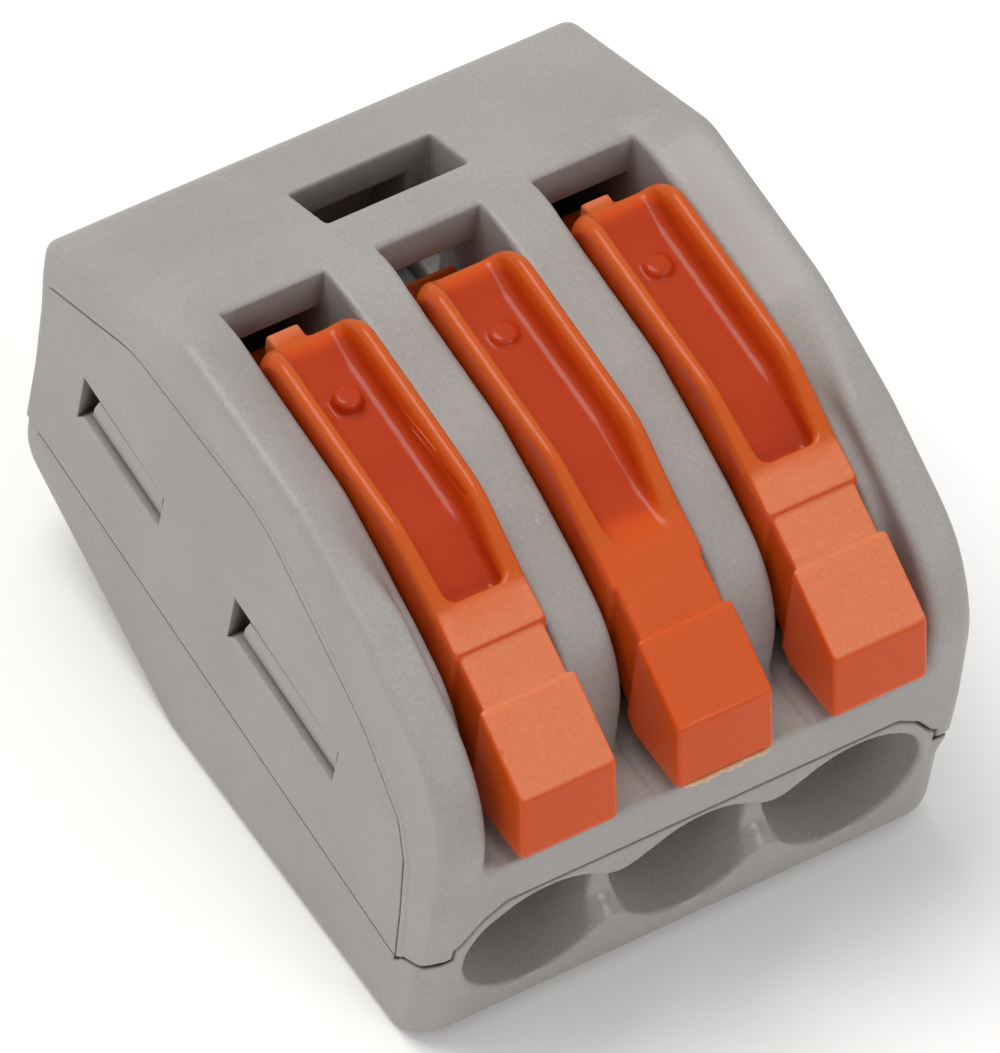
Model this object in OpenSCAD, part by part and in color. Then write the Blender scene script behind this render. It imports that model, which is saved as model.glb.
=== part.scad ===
// Lever wire connector: three levers, each with its own cage clamp, in a
// two-part housing around one common busbar.
// +X runs along the row of levers, the wire entries face -Y, +Z is up.
// The origin is on the flat underside, midway across the width and depth.

/* [Body] */
// Depth of the housing from the entry face to the back
body_d = 20.5; // [17.1:0.1:24.6]
// Height of the housing at its crest
body_h = 14.4; // [12.6:0.1:17.3]
// Thickness of an end wall beside the outer slots
end_wall = 1.8; // [1.5:0.05:2.2]

/* [Levers] */
// Clear width of the slot that a lever lies in
slot_w = 3.1; // [2.7:0.05:3.75]
// Width of the rib between two slots
rib_w = 1.6; // [1.3:0.05:1.95]
// How far a lever swings up, in degrees
lever_open = 85; // [60:1:88]
// Radius of a lever's pivot pin
pin_r = 0.9; // [0.75:0.05:1.1]

/* [Wire entries] */
// Radius of the round entry for the insulated wire
entry_r = 1.9; // [1.55:0.05:2]
// Radius of the guide hole for the bare conductor
guide_r = 1.27; // [1.05:0.05:1.5]

/* [Hidden] */

eps = 0.01;
far = 60;
arc_step = 9;         // degrees between points on a rounded outline
$fn = 48;

// Width: three slots with two ribs between them, inside two end walls.
pitch = slot_w + rib_w;
poles = [-pitch, 0, pitch];
bay_x = pitch + slot_w / 2;      // outer side of the outer slots
half_w = bay_x + end_wall;
ridge_t = 1.35;                  // end wall above the ribs
ridge_x = half_w - ridge_t;
wing_t = 0.7;                    // latch wing
wing_x = half_w - wing_t;

// The side view is drawn at one depth and height. Any other size stretches
// only its middle, so what lies in front of or behind the stretched stretch
// keeps its distance from that face, and what lies below it its height.
drawn_d = 20.5;
drawn_h = 14.4;
stretch_y = [-6, 6];
stretch_z = [6, 8.5];

seam = 0.06;          // gap seen along every seam
ledge_z = 7.35;       // top of the front sill, below the grips
lip_y = -8.3;         // front of the ribs, behind the front sill
sill_back_y = -7.5;   // back of the sill, inside the slots
front_seam_z = 5.68;
back_seam_z = 4.65;
back_wall_y = 8.9;    // inside of the back wall
slot_back_y = 4.24;   // back end of a lever slot
roof_z = 12.3;        // underside of the roof behind the slots
corner_r_front = 0.7;
corner_r_back = 0.7;

// Levers, from the slot's width and a gap on each side.
lever_gap = 0.1;
neck_gap = 0.27;
grip_gap = 0.11;
rail_w = 0.55;        // each rail beside a lever's pocket
lever_w = slot_w - 2 * lever_gap;
neck_w = slot_w - 2 * neck_gap;
grip_w = slot_w - 2 * grip_gap;
pocket_w = lever_w - 2 * rail_w;
pin_seat = 0.45;      // length of pin in each wall
pin_clear = 0.05;
pin_reach = slot_w / 2 + pin_seat;
cam_swell = 1.44;     // how far an opened lever's cam sinks the spring leg
cam_gap = 0.05;
cam_step = 5;         // degrees of lever travel per cam flat
neck_y = -7;          // step from a lever's bar to its neck
grip_y = -8.28;       // back of a grip
boss_r = 0.4;
stub_w = 0.8;         // gate stub behind a lever

// Busbar and clamps.
bar_t = 0.78;
bar_side_gap = 0.15;
strip_t = 0.38;       // spring strip thickness
cage_gap = 0.14;
cage_w = slot_w - 2 * cage_gap;
cage_rail = 0.35;     // strip on each side of a cage window
window_w = cage_w - 2 * cage_rail;
tongue_gap = 0.15;
tongue_w = window_w - 2 * tongue_gap;
cage_ratio = 0.175;   // turn of a cage per turn of its lever
bar_seat = 0.02;      // fixed leg above the busbar
bar_clear = 0.1;      // housing around the busbar, front and back
bar_l = 3;            // depth of the busbar's cross piece
loop_gap = 0.39;      // loop in front of the back wall
nip = 0.1;            // cage lip below the busbar, with no wire in
lip_h = 0.6;
window_head = 0.5;    // cage above its window

// Wire entries, one behind the other from the front face.
entry_z = 3.45;
flare = 0.2;          // mouth radius beyond the entry radius
flare_l = 1.7;
entry_l = 2.4;
taper_l = 0.7;
mouth_r = entry_r + flare;
web_w = 0.7;          // opening between neighbouring mouths
web_h = 1.8;
web_l = 1.1;

// Test slot in the roof, behind the levers.
test_w = 4.3;
test_l = 1.75;
test_floor_z = 9;

// Latch windows: [back end, front end, lower edge at the back end].
latches = [[7.3, 3.55, 7.35], [-0.25, -5.1, 6.6]];
latch_h = 1.35;
latch_tilt = 6;
nose_drop = 0.25;     // lower edge of a nose, below the wing's face
nose_set = 0.03;      // upper edge of a nose, below the wing's face
nose_root = 0.2;      // nose into the housing wall

// Corner post feet.
foot_t = 0.75;        // foot behind the front face
foot_set = 1.25;      // end of the level front seam, beyond the outer poles
mouth_margin = 0.35;  // foot beside an entry mouth
mouth_bevel = 0.2;    // foot above the mouth's shoulder

// A point of the side view, in millimetres back from the middle and up.
function part_of(v, span) = min(1, max(0, (v - span[0]) / (span[1] - span[0])));
function at(y, z) = [
  y + (body_d - drawn_d) * (part_of(y, stretch_y) - 0.5),
  z + (body_h - drawn_h) * part_of(z, stretch_z)];

front_y = -body_d / 2;
back_y = at(10.3, 0).x;
pivot = at(1.2, 11.56);      // lever axis
bar_y = at(2, 0).x;          // front of the busbar's cross piece
bar_z = back_seam_z + seam / 2;
loop_top = at(0, 8.7).y;     // top of a spring's upper leg at rest
loop_bottom = bar_z + bar_t + bar_seat;
loop_r = (loop_top - loop_bottom) / 2;
loop_c = [at(back_wall_y, 0).x - loop_gap - loop_r, loop_bottom + loop_r];
cage_y = at(-2, 0).x;        // middle of the cage strip
cam_r = pivot.y - loop_top + cam_swell;

function unit(v) = v / norm(v);
function wrap(a) = a > 180 ? a - 360 : (a < -180 ? a + 360 : a);

// Points of the arc that rounds corner b, between neighbours a and c.
function corner(a, b, c, r) = r <= 0 ? [b] :
  let (u = unit(a - b),
    v = unit(c - b),
    half = acos(u * v) / 2,
    m = b + unit(u + v) * r / sin(half),
    s = b + u * r / tan(half) - m,
    e = b + v * r / tan(half) - m,
    a0 = atan2(s.y, s.x),
    turn = wrap(atan2(e.y, e.x) - a0),
    n = max(1, ceil(abs(turn) / arc_step)))
  [for (i = [0 : n]) m + r * [cos(a0 + turn * i / n), sin(a0 + turn * i / n)]];

// Closed outline from [y, z, radius] rows.
function rounded(rows) =
  let (n = len(rows), p = [for (q = rows) at(q[0], q[1])])
  [for (i = [0 : n - 1])
    each corner(p[(i + n - 1) % n], p[i], p[(i + 1) % n], rows[i][2])];

// Side view shape, run across the width between two X values.
module across(x0, x1) {
  translate([x0, 0, 0])
    rotate([90, 0, 90])
      linear_extrude(x1 - x0)
        children();
}

// The same, centred on a pole and w wide.
module pole_strip(x, w) {
  across(x - w / 2, x + w / 2) children();
}

// Both sides of the body.
module both_sides() {
  children();
  mirror([1, 0, 0]) children();
}

module side_outline() {
  polygon(rounded([
    [-9.9, 0, 1.1],
    [-10.25, 5.6, 0],
    [-10.25, 10.35, 4.2],
    [-5.55, 12.83, 4],
    [-2.05, 14.0, 4],
    [3.35, 14.5, 1.6],
    [9.88, 11.9, 0.65],
    [10.3, 3.35, 0.9],
    [2.4, 0, 1.5]]));
}

// Everything above the ribs and the front sill, to be cut away.
module above_ribs() {
  polygon(rounded([
    [-12, ledge_z, 0],
    [lip_y, ledge_z, 0],
    [lip_y, 10.67, 3.2],
    [-5.6, 12.02, 3],
    [-1.9, 13.5, 2],
    [slot_back_y, 14.13, 0],
    [slot_back_y, 17, 0],
    [-12, 17, 0]]));
}

// Hollow of one pole in the upper housing.
module bay() {
  polygon(rounded([
    [-10.5, ledge_z, 0],
    [sill_back_y, ledge_z, 0],
    [sill_back_y, 4, 0],
    [back_wall_y, 4, 0],
    [back_wall_y, 10.9, 0.8],
    [6, roof_z, 0],
    [slot_back_y, roof_z, 0],
    [slot_back_y, 17, 0],
    [-10.5, 17, 0]]));
}

// What lies below the housing's inner seam, up to the given gap.
module below_seam(gap) {
  polygon([
    at(-12, -1),
    at(-12, front_seam_z) + [0, gap],
    at(-4.45, front_seam_z) + [gap, gap],
    at(-4.45, back_seam_z) + [gap, gap],
    at(12, back_seam_z) + [0, gap],
    at(12, -1)]);
}

// Side view of a latch wing and of the seam around it.
module wing_outline() {
  polygon(rounded([
    [9.98, 4, 0],
    [9.42, 10.4, 0.2],
    [5.4, 12.05, 3],
    [-0.9, 12.15, 4],
    [-6.1, 9.55, 3],
    [-8.01, 7.88, 0.6],
    [-8.42, 6.67, 0],
    [-8.53, 4.68, 0],
    [-8.54, 4, 0]]));
}

// Wing pocket in the housing: the wing outline with its seam gap.
module wing_pocket() {
  wing_outline();
  for (a = [0 : 45 : 315])
    translate(seam * [cos(a), sin(a)]) wing_outline();
}

module plan_outline() {
  for (s = [-1, 1]) {
    translate([s * (half_w - corner_r_front), front_y + corner_r_front])
      circle(corner_r_front);
    translate([s * (half_w - corner_r_back), back_y - corner_r_back])
      circle(corner_r_back);
  }
  translate([-half_w, front_y + corner_r_front])
    square([2 * half_w, back_y - corner_r_back - front_y - corner_r_front]);
  translate([corner_r_front - half_w, front_y])
    square([2 * (half_w - corner_r_front), 2 * corner_r_front]);
  translate([corner_r_back - half_w, back_y - 2 * corner_r_back])
    square([2 * (half_w - corner_r_back), 2 * corner_r_back]);
}

module outer_solid() {
  intersection() {
    across(-half_w, half_w) side_outline();
    translate([0, 0, -1]) linear_extrude(2 * body_h) plan_outline();
  }
}

// Front view of the foot under a front corner post, grown by the gap.
module foot_outline(gap) {
  x_top = pitch + foot_set - gap;
  x_mouth = pitch + mouth_r - gap;
  x_out = half_w + 1;
  polygon([
    [x_out, 3.9 - gap],
    [half_w - 0.15, 4.05 - gap],
    [x_mouth + mouth_margin, 4.5 - gap],
    [x_mouth - mouth_bevel, 5.25 - gap],
    [x_top, front_seam_z - gap],
    [x_top, front_seam_z + 1],
    [x_out, front_seam_z + 1]]);
}

// Corner post foot of one side, grown by the given gap.
module foot(gap) {
  rotate([90, 0, 0])
    translate([0, 0, -front_y - foot_t - gap])
      linear_extrude(far)
        foot_outline(gap);
  across(wing_x - gap, half_w + 1)
    polygon([
      at(-12, 4.6) - [0, gap],
      at(-10.1, 4) - [0, gap],
      at(-9.66, 3.5) - [0, gap],
      at(-8.95, 3.07) - [0, gap],
      at(-8.55, 2.78) + [gap, -gap],
      at(-8.53, 4.68) + [gap, 0],
      at(-8.42, 6.67) + [gap, 0],
      at(-12, 6.67)]);
}

// Places a child at the back end of a latch window's lower edge.
module at_latch(row) {
  p = at(row[0], row[2]);
  translate([0, p.x, p.y]) rotate([latch_tilt, 0, 0]) children();
}

function latch_l(row) = at(row[0], 0).x - at(row[1], 0).x;

module latch_windows() {
  x = wing_x - 1;
  for (row = latches) {
    at_latch(row)
      translate([x, -latch_l(row), 0])
        cube([far, latch_l(row), latch_h]);
    at_latch(row)
      across(x, far)
        polygon([[-0.65, latch_h], [0.3, latch_h], [0.3, -0.35]]);
  }
}

// Ramped noses that fill the windows, joined to the housing wall.
module latch_noses() {
  x = half_w - nose_set;
  for (row = latches)
    at_latch(row)
      translate([0, -seam, 0])
        rotate([90, 0, 0])
          linear_extrude(latch_l(row) - 2 * seam)
            polygon([
              [wing_x - nose_root, seam],
              [half_w - nose_drop, seam],
              [x, latch_h / 2],
              [x, latch_h - seam],
              [wing_x - nose_root, latch_h - seam]]);
}

module test_slot() {
  p = at(5.7, test_floor_z);
  translate([-test_w / 2, p.x, p.y])
    cube([test_w, test_l, far]);
}

module upper_housing() {
  color("#A9A49F") {
    difference() {
      outer_solid();
      across(-ridge_x, ridge_x) above_ribs();
      across(-far, far) below_seam(seam / 2);
      for (x = poles) pole_strip(x, slot_w) bay();
      both_sides() across(wing_x - seam / 2, far) wing_pocket();
      for (x = poles)
        translate([x - pin_reach - pin_clear, pivot.x, pivot.y])
          rotate([0, 90, 0])
            cylinder(r = pin_r + pin_clear, h = 2 * (pin_reach + pin_clear));
      across(-bay_x, bay_x)
        translate([bar_y - bar_clear, 0])
          square([bar_l + 2 * bar_clear, bar_z + bar_t + seam]);
      test_slot();
    }
    both_sides() latch_noses();
    both_sides() intersection() {
      foot(-seam / 2);
      outer_solid();
      translate([0, -far, -far])
        cube([far, 2 * far, far + front_seam_z + seam]);
    }
  }
}

// Wire entry of one pole: flared mouth, entry, taper and guide hole.
module entry(x) {
  l = [flare_l, flare_l + entry_l, flare_l + entry_l + taper_l];
  translate([x, front_y, entry_z])
    rotate([-90, 0, 0])
      rotate_extrude()
        polygon([
          [0, -flare_l],
          [mouth_r + flare, -flare_l],
          [entry_r, l[0]],
          [entry_r, l[1]],
          [guide_r, l[2]],
          [guide_r, l[2] + 2],
          [0, l[2] + 2]]);
}

module base_bay() {
  polygon([at(-4.5, 1.2), at(3, 1.2), at(8.6, 3.75), at(8.6, 6), at(-4.5, 6)]);
}

// Fine witness line between a latch wing and the strip below it.
module side_groove() {
  p = at(9.95, 4.62);
  q = at(-7.9, 2.85);
  translate([half_w, p.x, p.y])
    rotate([atan2(p.y - q.y, p.x - q.x), 0, 0])
      translate([-seam, -norm(p - q), -seam / 2])
        cube([2 * seam, norm(p - q), seam]);
}

module base_cover() {
  color("#A5A09B")
    difference() {
      intersection() {
        outer_solid();
        union() {
          across(-far, far) below_seam(-seam / 2);
          both_sides() across(wing_x, far) wing_outline();
        }
      }
      both_sides() foot(seam / 2);
      for (x = poles) {
        entry(x);
        pole_strip(x, slot_w) base_bay();
      }
      for (x = [-pitch / 2, pitch / 2])
        translate([x - web_w / 2, front_y - 1, entry_z - web_h / 2])
          cube([web_w, 1 + web_l, web_h]);
      both_sides() latch_windows();
      both_sides() side_groove();
    }
}

module busbar() {
  tongue_y = at(-3.4, 0).x;
  color("#C9C6BE") {
    for (x = poles)
      translate([x - tongue_w / 2, tongue_y, bar_z])
        cube([tongue_w, bar_y + bar_l / 2 - tongue_y, bar_t]);
    translate([bar_side_gap - bay_x, bar_y, bar_z])
      cube([2 * (bay_x - bar_side_gap), bar_l, bar_t]);
  }
}

// Side view of a lever's bar, neck and grip, closed.
module lever_outline() {
  polygon(rounded([
    [2.78, 14.45, 1.1],
    [-3.75, 13.85, 2.5],
    [-6.95, 12.2, 0.15],
    [-7.02, 12.05, 0],
    [-8.25, 11.4, 0],
    [-8.33, 11.52, 0.1],
    [-10.52, 10.24, 0.2],
    [-10.93, 8.1, 0.3],
    [-8.7, 8.05, 0.4],
    [-7.6, 8.9, 1],
    [-3.2, 10.2, 1],
    [-1.9, 9.6, 0],
    [2.78, 9.6, 0]]));
}

// Cam: a disc cut back by the spring leg at each step of the swing, so the
// leg always lies against one of its flats.
module cam_outline() {
  difference() {
    intersection() {
      translate(pivot) circle(cam_r);
      polygon([at(-1.9, 7), at(5.6, 7), at(5.6, 10.9), at(2.78, 10.4), at(-1.9, 12)]);
    }
    for (a = [0 : cam_step : lever_open])
      translate(pivot) rotate(a) translate(-pivot)
        translate(loop_c) rotate(cage_ratio * a)
          translate([-far, loop_r + cam_gap - far])
            square([2 * far, far]);
  }
}

module pocket_outline() {
  polygon(rounded([
    [3.3, 16, 0],
    [3.3, 13.92, 0],
    [1.5, 13.42, 2],
    [-3.6, 12.9, 2],
    [-5.75, 11.95, 0.3],
    [-5.95, 16, 0]]));
}

// Slab of a lever between two places along it, w wide.
module lever_span(w, y0, y1) {
  intersection() {
    pole_strip(0, w) lever_outline();
    translate([-far, y0, 0]) cube([2 * far, y1 - y0, far]);
  }
}

module lever(x) {
  neck = at(neck_y, 0).x;
  grip = at(grip_y, 0).x;
  color("#D0501F") translate([x, 0, 0]) {
    difference() {
      union() {
        lever_span(lever_w, neck, far);
        lever_span(neck_w, grip - eps, neck + eps);
        lever_span(grip_w, -far, grip);
        pole_strip(0, lever_w) cam_outline();
      }
      pole_strip(0, pocket_w) pocket_outline();
    }
    translate([-pin_reach, pivot.x, pivot.y])
      rotate([0, 90, 0])
        cylinder(r = pin_r, h = 2 * pin_reach);
    translate([0, at(0.55, 0).x, at(0, 13).y])
      cylinder(r = boss_r, h = 0.75);
    translate([-stub_w / 2, at(2.6, 0).x, at(0, 13).y])
      cube([stub_w, 0.45, 0.5]);
  }
}

// Fixed leg and loop of a clamp spring.
module clamp_spring(x) {
  leg_y = at(-1, 0).x;
  color("#B9BBBD")
    pole_strip(x, cage_w) {
      translate([leg_y, loop_bottom])
        square([loop_c.x - leg_y, strip_t]);
      difference() {
        translate(loop_c) circle(loop_r);
        translate(loop_c) circle(loop_r - strip_t);
        translate([loop_c.x - far, 0]) square(far);
      }
    }
}

// Upper leg and cage of a clamp spring.
module clamp_cage(x) {
  lip_z = bar_z - nip;
  front = cage_y - strip_t / 2;
  color("#B9BBBD")
    difference() {
      pole_strip(x, cage_w) {
        translate([front, loop_top - strip_t])
          square([loop_c.x - seam - front, strip_t]);
        translate([front, lip_z - lip_h])
          square([strip_t, loop_top - lip_z + lip_h]);
      }
      translate([x - window_w / 2, front - 1, lip_z])
        cube([window_w, strip_t + 2, loop_top - window_head - lip_z]);
    }
}

upper_housing();
base_cover();
busbar();
lever(-pitch);  // lever_left
lever(0);  // lever_middle
lever(pitch);  // lever_right
clamp_spring(-pitch);  // clamp_spring_left
clamp_spring(0);  // clamp_spring_middle
clamp_spring(pitch);  // clamp_spring_right
clamp_cage(-pitch);  // clamp_cage_left
clamp_cage(0);  // clamp_cage_middle
clamp_cage(pitch);  // clamp_cage_right
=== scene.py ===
"""Looks of a lever wire connector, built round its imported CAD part.

The part is a two-piece polyamide housing, three glossy swing-up levers, three
bent spring clamps and one common busbar. Plastic pieces are worked out as
signed distances on a grid: each moulded shape is a sum of outlines carried
across the width, cut and joined with rounded edges, and its zero surface is
the skin. Metal pieces are strips carried along a bent path.
All lengths in this file are in millimetres until a mesh is written.
"""
import logging
import math
from dataclasses import dataclass, field
from enum import Enum
from typing import Callable, Sequence

import bmesh
import bpy
import numpy as np
from mathutils import Matrix, Vector
from mathutils.geometry import tessellate_polygon

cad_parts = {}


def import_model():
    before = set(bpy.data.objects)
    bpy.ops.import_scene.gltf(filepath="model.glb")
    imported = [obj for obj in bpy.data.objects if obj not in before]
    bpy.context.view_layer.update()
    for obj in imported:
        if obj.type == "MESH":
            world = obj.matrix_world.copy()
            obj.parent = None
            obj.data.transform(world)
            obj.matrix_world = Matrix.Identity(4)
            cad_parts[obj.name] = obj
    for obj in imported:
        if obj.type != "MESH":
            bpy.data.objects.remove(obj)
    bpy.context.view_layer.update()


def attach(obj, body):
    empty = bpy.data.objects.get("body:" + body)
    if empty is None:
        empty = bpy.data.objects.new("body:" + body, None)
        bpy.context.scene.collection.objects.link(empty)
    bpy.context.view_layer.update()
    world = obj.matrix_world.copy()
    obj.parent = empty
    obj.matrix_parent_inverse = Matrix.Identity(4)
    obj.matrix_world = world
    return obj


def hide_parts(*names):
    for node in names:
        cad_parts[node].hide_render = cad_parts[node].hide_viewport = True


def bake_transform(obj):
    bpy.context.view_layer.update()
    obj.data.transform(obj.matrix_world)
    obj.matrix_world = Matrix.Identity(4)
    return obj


logging.basicConfig(level=logging.INFO, format="%(message)s")
LOG = logging.getLogger("connector")

MM = 0.001
Array = np.ndarray
Rows = Sequence[Sequence[float]]


# ---------------------------------------------------------------- outlines

def rounded_outline(rows: Rows, step_deg: float = 7.5) -> Array:
    """Closed outline whose corners are arcs.

    Each corner's arc touches both of its sides: its centre lies on the
    bisector, at radius over the sine of half the corner's angle.

    Args:
        rows: One (a, b, radius) row per corner, in order round the outline.
        step_deg: Largest turn between two points of an arc.

    Returns:
        An array of points, one (a, b) row each.
    """
    p = np.array([row[:2] for row in rows], float)
    points = []
    for i, (_, _, radius) in enumerate(rows):
        here, before, after = p[i], p[i - 1], p[(i + 1) % len(p)]
        if radius <= 0:
            points.append(here)
            continue
        u = (before - here) / np.linalg.norm(before - here)
        v = (after - here) / np.linalg.norm(after - here)
        half = math.acos(float(np.clip(u @ v, -1, 1))) / 2
        middle = here + (u + v) / np.linalg.norm(u + v) * radius / math.sin(half)
        start = here + u * radius / math.tan(half) - middle
        end = here + v * radius / math.tan(half) - middle
        a0 = math.atan2(start[1], start[0])
        turn = math.atan2(end[1], end[0]) - a0
        turn = (turn + math.pi) % (2 * math.pi) - math.pi
        n = max(1, math.ceil(abs(turn) / math.radians(step_deg)))
        angles = a0 + turn * np.arange(n + 1) / n
        points.extend(middle + radius * np.column_stack((np.cos(angles), np.sin(angles))))
    return np.array(points)


def outline_distance(points: Array, a: Array, b: Array) -> Array:
    """Signed distance from places in a plane to a closed outline, negative inside.

    The size is the distance to the nearest side. The sign comes from how many
    sides a ray from the place crosses.
    """
    a, b = np.broadcast_arrays(np.asarray(a, float), np.asarray(b, float))
    best = np.full(a.shape, np.inf)
    inside = np.zeros(a.shape, bool)
    for p, q in zip(points, np.roll(points, -1, axis=0)):
        side = q - p
        length2 = float(side @ side)
        if length2 == 0:
            continue
        t = np.clip(((a - p[0]) * side[0] + (b - p[1]) * side[1]) / length2, 0, 1)
        best = np.minimum(best, (a - p[0] - t * side[0]) ** 2 + (b - p[1] - t * side[1]) ** 2)
        if side[1] != 0:
            crosses = (p[1] > b) != (q[1] > b)
            inside ^= crosses & (a < p[0] + (b - p[1]) * side[0] / side[1])
    return np.where(inside, -1, 1) * np.sqrt(best)


# ------------------------------------------------------------ solid algebra

def both(a: Array, b: Array, radius: Array | float = 0.0) -> Array:
    """What two solids share, its new edges rounded.

    Within the radius of both skins the distance is that of a circle about the
    point one radius inside each: a quarter-round edge.
    """
    return (np.minimum(np.maximum(a, b), -radius)
            + np.hypot(np.maximum(a + radius, 0), np.maximum(b + radius, 0)))


def either(a: Array, b: Array, radius: Array | float = 0.0) -> Array:
    """Two solids joined, with a fillet of the radius where they meet."""
    return -both(-a, -b, radius)


def without(a: Array, b: Array, radius: Array | float = 0.0) -> Array:
    """The first solid less the second, its new edges rounded."""
    return both(a, -b, radius)


def ramp(v: Array, start: float, end: float) -> Array:
    """Smooth step from 0 at start to 1 at end."""
    t = np.clip((v - start) / (end - start), 0, 1)
    return t * t * (3 - 2 * t)


def slab(v: Array, low: float, high: float) -> Array:
    """Signed distance to the space between two parallel planes."""
    return np.abs(v - (low + high) / 2) - (high - low) / 2


# ---------------------------------------------------------------- meshing

def grid_lines(low: float, high: float, step: float,
               bands: Sequence[tuple[float, float, float]] = ()) -> Array:
    """Grid lines of one axis, closer together inside the given bands.

    The lines are the places where the running sum of one over the local step
    passes each whole number.

    Args:
        low: First line.
        high: Last line.
        step: Step outside every band.
        bands: (start, end, step) of each stretch that needs finer lines.

    Returns:
        The lines' places, in rising order.
    """
    v = np.linspace(low, high, 20001)
    local = np.full(v.shape, step)
    for start, end, fine in bands:
        local = np.where((v >= start) & (v <= end), np.minimum(local, fine), local)
    local = local * 1.0
    count = np.concatenate(([0], np.cumsum(np.diff(v) / local[:-1])))
    return np.interp(np.linspace(0, count[-1], math.ceil(count[-1]) + 1), count, v)


def skin(distance: Array, axes: tuple[Array, Array, Array]) -> tuple[Array, Array]:
    """Zero surface of a distance grid, as one vertex per crossed cell.

    A vertex is the mean of the places where the surface crosses its cell's
    edges. Every crossed grid edge gives one four-sided face between the four
    cells round it, turned so that its front looks out of the solid.

    Args:
        distance: Signed distances at the grid's nodes.
        axes: Grid lines along X, Y and Z.

    Returns:
        The vertices, and the faces as rows of four vertex numbers.
    """
    inside = distance < 0
    cells = np.array(distance.shape) - 1
    total = np.zeros((int(cells.prod()), 4))
    corners = []
    for axis in range(3):
        u, v = (axis + 1) % 3, (axis + 2) % 3
        low = [slice(None)] * 3
        high = [slice(None)] * 3
        low[axis], high[axis] = slice(None, -1), slice(1, None)
        crossed = inside[tuple(low)] != inside[tuple(high)]
        ids = np.array(np.nonzero(crossed))
        ids = ids[:, (ids[u] > 0) & (ids[u] < cells[u]) & (ids[v] > 0) & (ids[v] < cells[v])]
        after = ids.copy()
        after[axis] += 1
        d0, d1 = distance[tuple(ids)], distance[tuple(after)]
        place = [axes[k][ids[k]] for k in range(3)]
        t = d0 / (d0 - d1)
        place[axis] = place[axis] + t * (axes[axis][after[axis]] - place[axis])
        ring = []
        for du, dv in ((-1, -1), (0, -1), (0, 0), (-1, 0)):
            cell = ids.copy()
            cell[u] += du
            cell[v] += dv
            number = np.ravel_multi_index(cell, cells)
            ring.append(number)
            for k in range(3):
                total[:, k] += np.bincount(number, place[k], total.shape[0])
            total[:, 3] += np.bincount(number, minlength=total.shape[0])
        ring = np.array(ring)
        flip = d0 > 0
        ring[:, flip] = ring[::-1, flip]
        corners.append(ring)
    used = np.nonzero(total[:, 3])[0]
    number_of = np.zeros(total.shape[0], np.int64)
    number_of[used] = np.arange(used.size)
    faces = number_of[np.concatenate(corners, axis=1)].T
    return total[used, :3] / total[used, 3:], faces


def write_mesh(name: str, vertices: Array, faces: Array) -> bpy.types.Mesh:
    """Writes arrays in millimetres into a new mesh in metres.

    Args:
        name: Name of the mesh.
        vertices: One (x, y, z) row per vertex.
        faces: Rows of four vertex numbers; a triangle repeats its last one.

    Returns:
        The new mesh.
    """
    mesh = bpy.data.meshes.new(name)
    mesh.vertices.add(len(vertices))
    mesh.vertices.foreach_set("co", (np.asarray(vertices) * MM).ravel().astype(np.float32))
    sizes = np.where(faces[:, 3] == faces[:, 2], 3, 4)
    keep = np.ones(faces.shape, bool)
    keep[sizes == 3, 3] = False
    loops = faces[keep]
    mesh.loops.add(len(loops))
    mesh.loops.foreach_set("vertex_index", loops.astype(np.int32))
    mesh.polygons.add(len(faces))
    mesh.polygons.foreach_set("loop_start", (np.cumsum(sizes) - sizes).astype(np.int32))
    mesh.update(calc_edges=True)
    mesh.validate()
    mesh.shade_smooth()
    return mesh


def show(name: str, mesh: bpy.types.Mesh) -> bpy.types.Object:
    """Puts a mesh in the scene as an object at the origin."""
    piece = bpy.data.objects.new(name, mesh)
    bpy.context.scene.collection.objects.link(piece)
    return piece


def join(name: str, meshes: Sequence[bpy.types.Mesh]) -> bpy.types.Mesh:
    """Gathers several closed shells in one mesh."""
    bm = bmesh.new()
    for mesh in meshes:
        bm.from_mesh(mesh)
        bpy.data.meshes.remove(mesh)
    whole = bpy.data.meshes.new(name)
    bm.to_mesh(whole)
    bm.free()
    whole.shade_smooth()
    return whole


def flatten_planes(mesh: bpy.types.Mesh, angle_deg: float = 0.2) -> None:
    """Merges faces that lie in one plane, and splits the result in triangles."""
    bm = bmesh.new()
    bm.from_mesh(mesh)
    bmesh.ops.dissolve_limit(bm, angle_limit=math.radians(angle_deg),
                             verts=bm.verts, edges=bm.edges)
    bmesh.ops.triangulate(bm, faces=[f for f in bm.faces if len(f.verts) > 4])
    bm.to_mesh(mesh)
    bm.free()
    mesh.shade_smooth()


def keep_planes_flat(piece: bpy.types.Object) -> None:
    """Weights each corner's normal by face area, so that flat faces shade flat."""
    weighted = piece.modifiers.new("flat_planes", "WEIGHTED_NORMAL")
    weighted.mode = "FACE_AREA"
    weighted.weight = 100


def mould(name: str, solid: Callable[[Array, Array, Array], Array],
          axes: tuple[Array, Array, Array]) -> bpy.types.Mesh:
    """Mesh of a moulded solid.

    Args:
        name: Name of the mesh.
        solid: Gives the signed distance at broadcast X, Y and Z.
        axes: Grid lines along X, Y and Z.

    Returns:
        The closed skin of the solid.
    """
    x, y, z = axes
    distance = solid(x[:, None, None], y[None, :, None], z[None, None, :])
    vertices, faces = skin(np.broadcast_to(distance, (x.size, y.size, z.size)), axes)
    mesh = write_mesh(name, vertices, faces)
    flatten_planes(mesh)
    return mesh


def face_outward(mesh: bpy.types.Mesh) -> bpy.types.Mesh:
    """Turns every face of a closed mesh outwards, and shades it smooth."""
    bm = bmesh.new()
    bm.from_mesh(mesh)
    bmesh.ops.recalc_face_normals(bm, faces=bm.faces)
    bm.to_mesh(mesh)
    bm.free()
    mesh.shade_smooth()
    return mesh


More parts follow.
